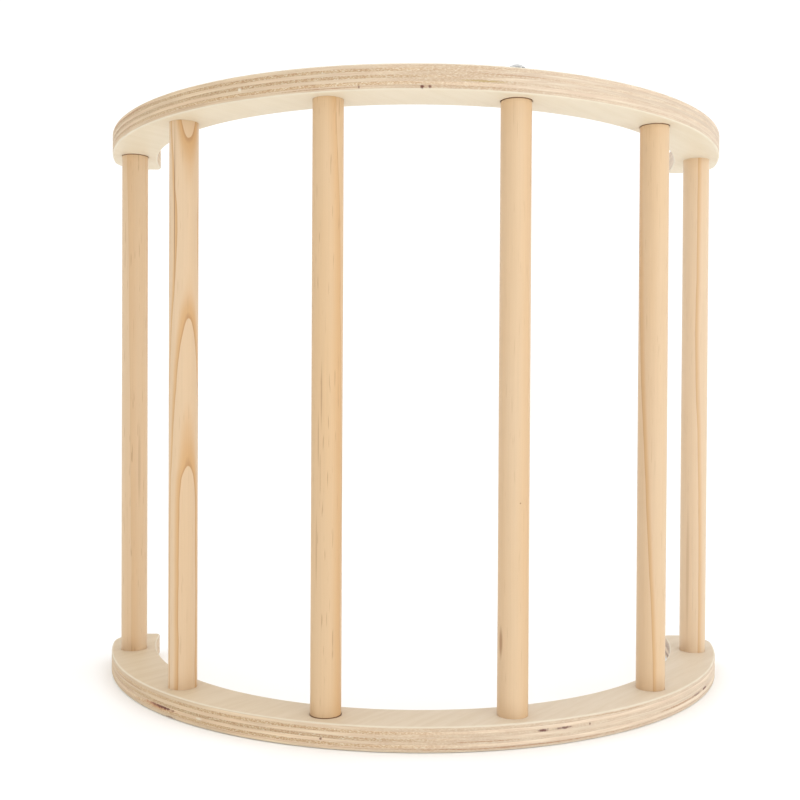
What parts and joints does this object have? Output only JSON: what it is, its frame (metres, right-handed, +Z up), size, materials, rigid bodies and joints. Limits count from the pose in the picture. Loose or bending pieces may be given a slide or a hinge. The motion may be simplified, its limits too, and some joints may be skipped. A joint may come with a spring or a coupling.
{
  "type": "playpen",
  "caption": "Half-round wooden playpen barrier: C-shaped plywood rails top and bottom, joined by upright round pine bars on the same curve.",
  "frame": {"origin": "bottom centre of the box round the part, on the surface it stands on", "axes": "+Z up along the bars; +X to the right as seen from outside the curve; the curve bulges towards -Y and is open towards +Y"},
  "size_m": [0.5404, 0.261, 0.473],
  "materials": {
    "plywood": "clear matt varnish on light plywood with a layered edge",
    "pine": "clear matt varnish on turned pine",
    "zinc_plated_steel": "bright zinc plate",
    "zinc_alloy": "cast zinc alloy, dull"
  },
  "bodies": {
    "root": {"bottom_rail": "plywood", "top_rail": "plywood", "dowel_1": "pine", "dowel_2": "pine", "dowel_3": "pine", "dowel_4": "pine", "dowel_5": "pine", "dowel_6": "pine", "top_bolt_1": "zinc_plated_steel", "top_bolt_2": "zinc_plated_steel", "top_bolt_3": "zinc_plated_steel", "top_bolt_4": "zinc_plated_steel", "top_bolt_5": "zinc_plated_steel", "top_bolt_6": "zinc_plated_steel", "bottom_bolt_1": "zinc_plated_steel", "bottom_bolt_2": "zinc_plated_steel", "bottom_bolt_3": "zinc_plated_steel", "bottom_bolt_4": "zinc_plated_steel", "bottom_bolt_5": "zinc_plated_steel", "bottom_bolt_6": "zinc_plated_steel", "top_insert_1": "zinc_alloy", "top_insert_2": "zinc_alloy", "top_insert_3": "zinc_alloy", "top_insert_4": "zinc_alloy", "top_insert_5": "zinc_alloy", "top_insert_6": "zinc_alloy", "bottom_insert_1": "zinc_alloy", "bottom_insert_2": "zinc_alloy", "bottom_insert_3": "zinc_alloy", "bottom_insert_4": "zinc_alloy", "bottom_insert_5": "zinc_alloy", "bottom_insert_6": "zinc_alloy"}
  },
  "joints": []
}
